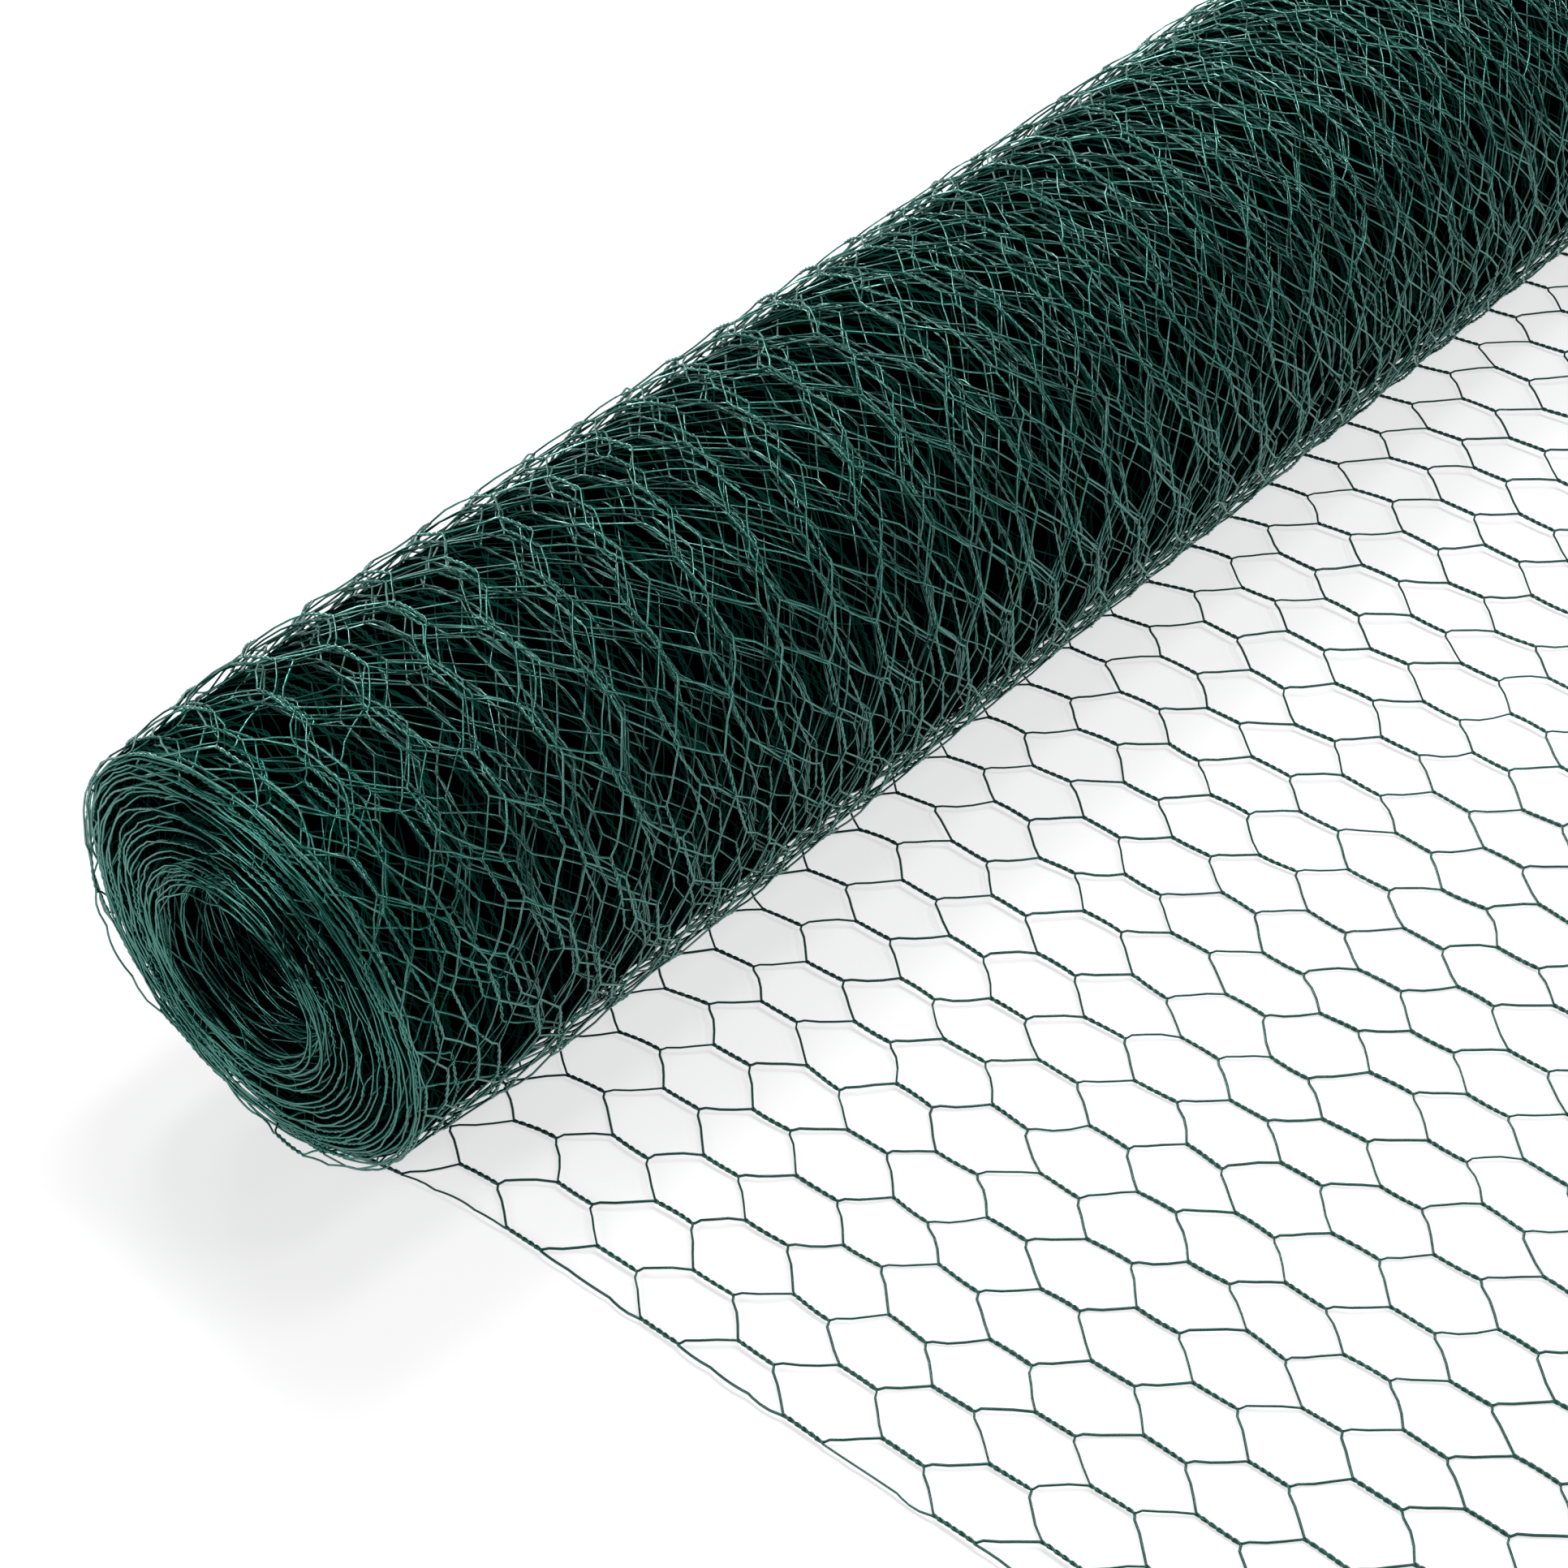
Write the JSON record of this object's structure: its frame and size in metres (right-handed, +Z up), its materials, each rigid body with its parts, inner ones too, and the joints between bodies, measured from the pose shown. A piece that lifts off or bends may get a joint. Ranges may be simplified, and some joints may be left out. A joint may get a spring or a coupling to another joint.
{
  "type": "roll of hexagonal wire netting",
  "caption": "Roll of plastic-coated hexagonal wire netting lying on its side, with a length unrolled flat beside it, for fencing and enclosures.",
  "frame": {"origin": "middle of the whole part's footprint, on the floor that the roll and the unrolled netting lie on", "axes": "+Y along the roll's axis, away from its near end; +X the way the netting unrolls; +Z up"},
  "size_m": [0.5359, 1.027, 0.163],
  "materials": {
    "coated_wire": "dark green plastic coating on steel wire, semi-gloss"
  },
  "bodies": {
    "root": {"roll": "coated_wire", "tail_strip_1": "coated_wire", "tail_strip_2": "coated_wire", "tail_strip_3": "coated_wire", "tail_strip_4": "coated_wire"}
  },
  "joints": []
}
